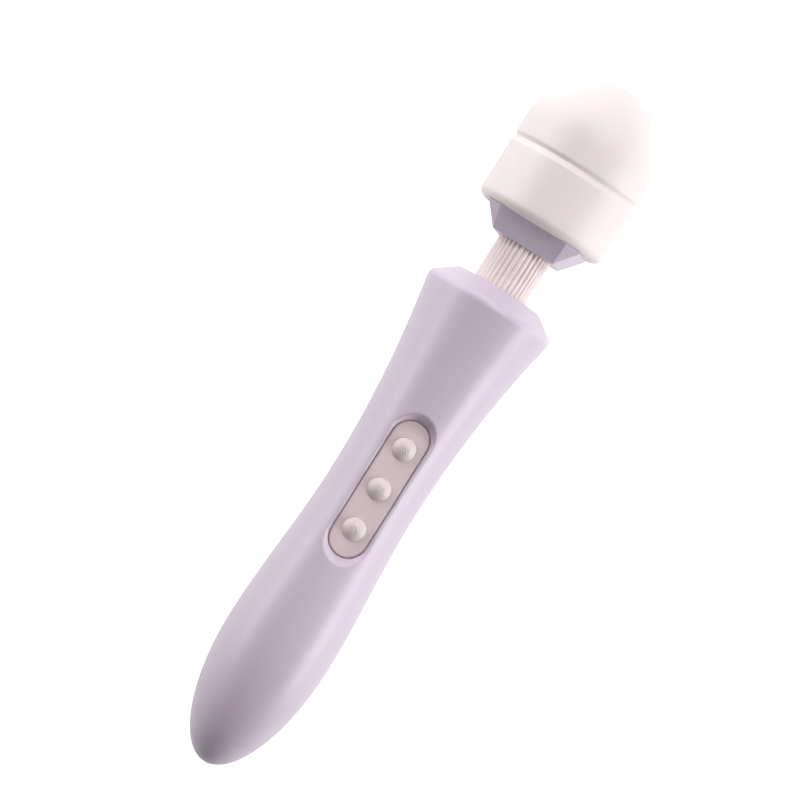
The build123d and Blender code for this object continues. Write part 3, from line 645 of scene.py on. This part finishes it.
def makeButton(name):
    low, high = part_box(f"button_{name}")
    top = high.z - axisZ
    points = [(dome["radius"] * dome["footShare"], pocket["height"] - dome["sink"])]
    points += [(dome["radius"], pocket["height"] - dome["sink"] + dome["footRise"])]
    for i in range(dome["rings"] + 1):
        distance = dome["radius"] * math.cos(math.pi / 2 * i / dome["rings"])
        points.append((distance, domeHeight(distance, top)))
    points[-1] = (0.0, top)
    points.insert(0, (0.0, points[0][1]))
    bm = bmesh.new()
    spinOutline(bm, points, dome["steps"])
    bmesh.ops.recalc_face_normals(bm, faces=bm.faces)
    turn = math.radians(dome["turn"])
    for across, along, length, slant in dome["ribs"][name]:
        x = (across * math.cos(turn) - along * math.sin(turn)) * mm
        y = (across * math.sin(turn) + along * math.cos(turn)) * mm
        seat = domeHeight(math.hypot(x, y), top)
        step = dome["probe"]
        tilt = math.atan2(domeHeight(math.hypot(x, y + step), top) - seat, step)
        lean = math.atan2(domeHeight(math.hypot(x + step, y), top) - seat, step)
        place = Matrix.Translation((x, y, seat)) @ Matrix.Rotation(tilt, 4, "X")
        place = place @ Matrix.Rotation(-lean, 4, "Y")
        place = place @ Matrix.Rotation(turn + math.radians(slant), 4, "Z")
        size = Matrix.Diagonal((dome["ribWidth"], length * mm, dome["ribHeight"], 1))
        bmesh.ops.create_uvsphere(
            bm, u_segments=dome["ribAround"], v_segments=dome["ribRings"], radius=1.0,
            matrix=place @ size,
        )
    middle = Matrix.Translation((0, tailY + buttonZ[name], axisZ))
    return newPiece(f"button_{name}_dome", bm, finishes["button_grey"], place=middle)


for name in buttonNames:
    button = makeButton(name)
    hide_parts(f"button_{name}")
    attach(button, f"{name}_button")
print("buttons ready")


# Neck: a ribbed sleeve, and the spring and wires inside it, each split in two at mid-neck
neck = {
    "crestR": 12.5 * mm, "deep": 0.85 * mm, "ribs": 34, "perRib": 10, "shape": 0.75,
    "wall": 1.0 * mm, "rings": 16, "sharp": 60,
}
sleeveLow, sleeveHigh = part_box("neck_sleeve")
bendJoint = next(j for j in frame["joints"] if j["name"] == "neck_bend_sideways")
pivotY = bendJoint["pos_m"][1]


def bendPieces(lower, upper, node):
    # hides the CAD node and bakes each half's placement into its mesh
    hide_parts(node)
    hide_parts(node)
    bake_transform(lower)
    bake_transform(upper)


def makeSleeveHalf(name, low, high):
    bm = bmesh.new()
    ring = []
    count = neck["ribs"] * neck["perRib"]
    for i in range(count):
        angle = 2 * math.pi * i / count
        crest = abs(math.sin(neck["ribs"] * angle / 2)) ** neck["shape"]
        radius = neck["crestR"] - neck["deep"] * (1 - crest)
        ring.append(bm.verts.new((radius * math.cos(angle), radius * math.sin(angle), low)))
    edges = [bm.edges.new((ring[i], ring[(i + 1) % count])) for i in range(count)]
    step = (high - low) / neck["rings"]
    for _ in range(neck["rings"]):
        grown = bmesh.ops.extrude_edge_only(bm, edges=edges)["geom"]
        edges = [item for item in grown if isinstance(item, bmesh.types.BMEdge) and item.is_boundary]
        verts = [item for item in grown if isinstance(item, bmesh.types.BMVert)]
        bmesh.ops.translate(bm, verts=verts, vec=(0, 0, step))
    thicken(bm, neck["wall"])
    piece = newPiece(name, bm, finishes["neck_silicone"], sharpAngle=neck["sharp"])
    return piece


pivotZ = pivotY - tailY
sleeveLower = makeSleeveHalf("neckSleeveLower", sleeveLow.y - tailY, pivotZ)
sleeveUpper = makeSleeveHalf("neckSleeveUpper", pivotZ, sleeveHigh.y - tailY)
bendPieces(sleeveLower, sleeveUpper, "neck_sleeve")


def halfOfNode(node, name, slotName, keepHigh):
    # a merged copy of a CAD node, cut at mid-neck and closed
    bm = bmesh.new()
    bm.from_mesh(frame["nodes"][node].data)
    bmesh.ops.remove_doubles(bm, verts=bm.verts, dist=mergeGap)
    cut = bmesh.ops.bisect_plane(
        bm, geom=bm.verts[:] + bm.edges[:] + bm.faces[:], plane_co=(0, pivotY, 0),
        plane_no=(0, 1, 0), clear_inner=keepHigh, clear_outer=not keepHigh,
    )["geom_cut"]
    edges = [item for item in cut if isinstance(item, bmesh.types.BMEdge)]
    bmesh.ops.holes_fill(bm, edges=edges, sides=0)
    piece = newPiece(name, bm, finishes[slotName], place=Matrix.Identity(4))
    return piece


for node, slotName in (("neck_spring", "steel"), ("motor_wires", "wire_insulation")):
    bendPieces(
        halfOfNode(node, f"{node}_lower", slotName, False),
        halfOfNode(node, f"{node}_upper", slotName, True),
        node,
    )
print("neck ready")


# Collar: square below, eight-sided above, in gloss plastic with crisp edges
collar = {
    "bottom": 14.8 * mm, "top": 22.8 * mm, "corner": 27.61 * mm, "turn": -12.5,
    "edge": 0.4 * mm, "edgeSegments": 4, "bore": 12.8 * mm, "boreSteps": 96, "boreDeep": 4,
    "cutGap": 1e-7, "mergeGap": 1e-5, "cornerAngle": 0.1, "sharp": 50,
}


def makeCollar(values):
    low, high = collarLow.y - tailY, collarHigh.y - tailY
    bm = bmesh.new()
    bmesh.ops.create_cube(bm, size=2.0)
    for vert in bm.verts:
        top = vert.co.z > 0
        half = values["top"] if top else values["bottom"]
        vert.co = Vector((vert.co.x * half, vert.co.y * half, high if top else low))
    bottomOut = values["bottom"] * math.sqrt(2)
    steep = (values["corner"] - bottomOut) / (high - low)
    for i in range(4):
        angle = math.radians(45 + 90 * i)
        outward = Vector((math.cos(angle), math.sin(angle), -steep)).normalized()
        start = Vector((math.cos(angle) * bottomOut, math.sin(angle) * bottomOut, low))
        cut = bmesh.ops.bisect_plane(
            bm, geom=bm.verts[:] + bm.edges[:] + bm.faces[:], dist=values["cutGap"],
            plane_co=start, plane_no=outward, clear_outer=True,
        )["geom_cut"]
        edges = [item for item in cut if isinstance(item, bmesh.types.BMEdge)]
        bmesh.ops.holes_fill(bm, edges=edges, sides=0)
    bmesh.ops.remove_doubles(bm, verts=bm.verts, dist=values["mergeGap"])
    bmesh.ops.recalc_face_normals(bm, faces=bm.faces)
    sides = [e for e in bm.edges if e.calc_face_angle(0) > values["cornerAngle"]]
    bmesh.ops.bevel(
        bm, geom=sides, offset=values["edge"], segments=values["edgeSegments"], profile=0.5,
        affect="EDGES", material=-1, clamp_overlap=True,
    )
    turn = Matrix.Rotation(math.radians(values["turn"]), 4, "Z")
    bmesh.ops.transform(bm, matrix=turn, verts=bm.verts)
    solid = newPiece("collarBlank", bm, finishes["collar_lilac"], place=Matrix.Identity(4))
    drill = bmesh.new()
    middle = Matrix.Translation((0, 0, (low + high) / 2))
    bmesh.ops.create_cone(
        drill, cap_ends=True, segments=values["boreSteps"], radius1=values["bore"],
        radius2=values["bore"], depth=values["boreDeep"] * (high - low), matrix=middle,
    )
    cutter = newPiece("collarDrill", drill, finishes["collar_lilac"], place=Matrix.Identity(4))
    mesh = applyBoolean(solid, cutter)
    bm = bmesh.new()
    bm.from_mesh(mesh)
    for blank in (solid, cutter):
        bpy.data.objects.remove(blank)
    piece = newPiece("headCollar", bm, finishes["collar_lilac"], sharpAngle=values["sharp"])
    piece.modifiers.new("evenNormals", "WEIGHTED_NORMAL").keep_sharp = True
    return piece


headCollar = makeCollar(collar)
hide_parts("head_collar")
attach(headCollar, "head")
print("collar ready")


# Head cap: one thick silicone cup with a rounded foot and a soft groove
cap = {
    "radius": (capHigh.x - capLow.x) / 2, "round": 4.3 * mm, "grooveLow": 26.4 * mm,
    "grooveWide": 4.4 * mm, "grooveDeep": 1.2 * mm, "grooveFootShare": 0.6,
    "grooveEdge": 1.6 * mm, "grooveFoot": 0.7 * mm, "mouth": 16.1 * mm, "wall": 3.0 * mm,
    "steps": 160, "domeSteps": 44, "footSteps": 12, "lowSteps": 10, "highSteps": 5,
    "grooveSteps": 6, "grooveClear": 1.2 * mm, "mouthRound": 0.4 * mm, "skin": 1.6 * mm,
    "sharp": 50,
}


def makeCap(values):
    low = capLow.y - tailY
    radius = values["radius"]
    high = capHigh.y - tailY
    domeZ = high - radius
    grooveZ = low + values["grooveLow"]
    footZ = grooveZ + values["grooveWide"] * values["grooveFootShare"]
    middle = (radius - values["grooveDeep"], footZ)
    upperEdge = (radius, grooveZ + values["grooveWide"])
    foot = cornerPoints((0, low), (radius, low), (radius, grooveZ), values["round"], values["footSteps"])
    mouth, mouthRound = values["mouth"], values["mouthRound"]
    points = [(mouth, low + values["wall"]), (mouth, low + mouthRound), (mouth + mouthRound, low)]
    points += foot
    clear, count = values["grooveClear"], values["lowSteps"]
    for i in range(1, count):
        points.append((radius, foot[-1][1] + (grooveZ - clear - foot[-1][1]) * i / count))
    edge, steps = values["grooveEdge"], values["grooveSteps"]
    points += cornerPoints(points[-1], (radius, grooveZ), middle, edge, steps)
    points += cornerPoints((radius, grooveZ), middle, upperEdge, values["grooveFoot"], steps)
    points += cornerPoints(middle, upperEdge, (radius, domeZ), edge, steps)
    count = values["highSteps"]
    for i in range(1, count):
        points.append((radius, upperEdge[1] + clear + (domeZ - upperEdge[1] - clear) * i / count))
    points += arcPoints((0, domeZ), radius, 0, 90, values["domeSteps"])
    points[-1] = (0.0, high)
    bm = bmesh.new()
    spinOutline(bm, points, values["steps"])
    thicken(bm, values["skin"])
    return newPiece("headCapSkin", bm, finishes["head_silicone"], sharpAngle=values["sharp"])


headCap = makeCap(cap)
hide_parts("head_cap")
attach(headCap, "head")
print("head cap ready")


# Floor, lights and surroundings
stage = {
    "floor": 6.0, "floorCells": 4, "floorColor": (0.9, 0.9, 0.9), "floorRough": 0.9,
    "glowColor": (1, 1, 1), "glow": 0.82, "fill": 0.22,
    "sky": (1.0, 0.985, 1.0), "skyPower": 0.055,
    # each light: its place, its two sizes and its power; all look at the middle of the wand
    "lights": {
        "rightStrip": {"place": (0.80, 0.00, 0.30), "size": (0.6, 0.35), "power": 4.9},
        "leftStrip": {"place": (-0.80, 0.12, 0.30), "size": (0.9, 0.30), "power": 3.7},
        "headStrip": {"place": (-0.30, 0.95, 0.45), "size": (0.7, 0.40), "power": 3.8},
        "high": {"place": (0.22, 0.80, 1.30), "size": (0.5, 0.5), "power": 7.2},
    },
}


def makeFloor(values):
    bm = bmesh.new()
    cells = values["floorCells"]
    bmesh.ops.create_grid(bm, x_segments=cells, y_segments=cells, size=values["floor"] / 2)
    material = bpy.data.materials.new("floorPaper")
    material.use_nodes = True
    shader = material.node_tree.nodes["Principled BSDF"]
    shader.inputs["Base Color"].default_value = (*values["floorColor"], 1)
    shader.inputs["Roughness"].default_value = values["floorRough"]
    shader.inputs["Emission Color"].default_value = (*values["glowColor"], 1)
    # the paper is bright to the eye and lights the wand less than it shows
    nodes, links = material.node_tree.nodes, material.node_tree.links
    path, strength = nodes.new("ShaderNodeLightPath"), nodes.new("ShaderNodeMapRange")
    strength.inputs["To Min"].default_value = values["fill"]
    strength.inputs["To Max"].default_value = values["glow"]
    links.new(path.outputs["Is Camera Ray"], strength.inputs["Value"])
    links.new(strength.outputs["Result"], shader.inputs["Emission Strength"])
    floor = newPiece("floorSheet", bm, material, place=Matrix.Identity(4))


def makeLights(values):
    aim = Vector((0, 0, axisZ))
    for name, light in values["lights"].items():
        data = bpy.data.lights.new(name, "AREA")
        data.energy = light["power"]
        data.shape = "RECTANGLE"
        data.size, data.size_y = light["size"]
        item = bpy.data.objects.new(name, data)
        item.location = light["place"]
        facing = aim - item.location
        item.rotation_euler = facing.to_track_quat("-Z", "Y").to_euler()
        bpy.context.scene.collection.objects.link(item)
    world = bpy.data.worlds.new("studio")
    world.use_nodes = True
    sky = world.node_tree.nodes["Background"]
    sky.inputs["Color"].default_value = (*values["sky"], 1)
    sky.inputs["Strength"].default_value = values["skyPower"]
    bpy.context.scene.world = world
    bpy.context.scene.view_settings.view_transform = "Standard"


makeFloor(stage)
makeLights(stage)
print("stage ready")
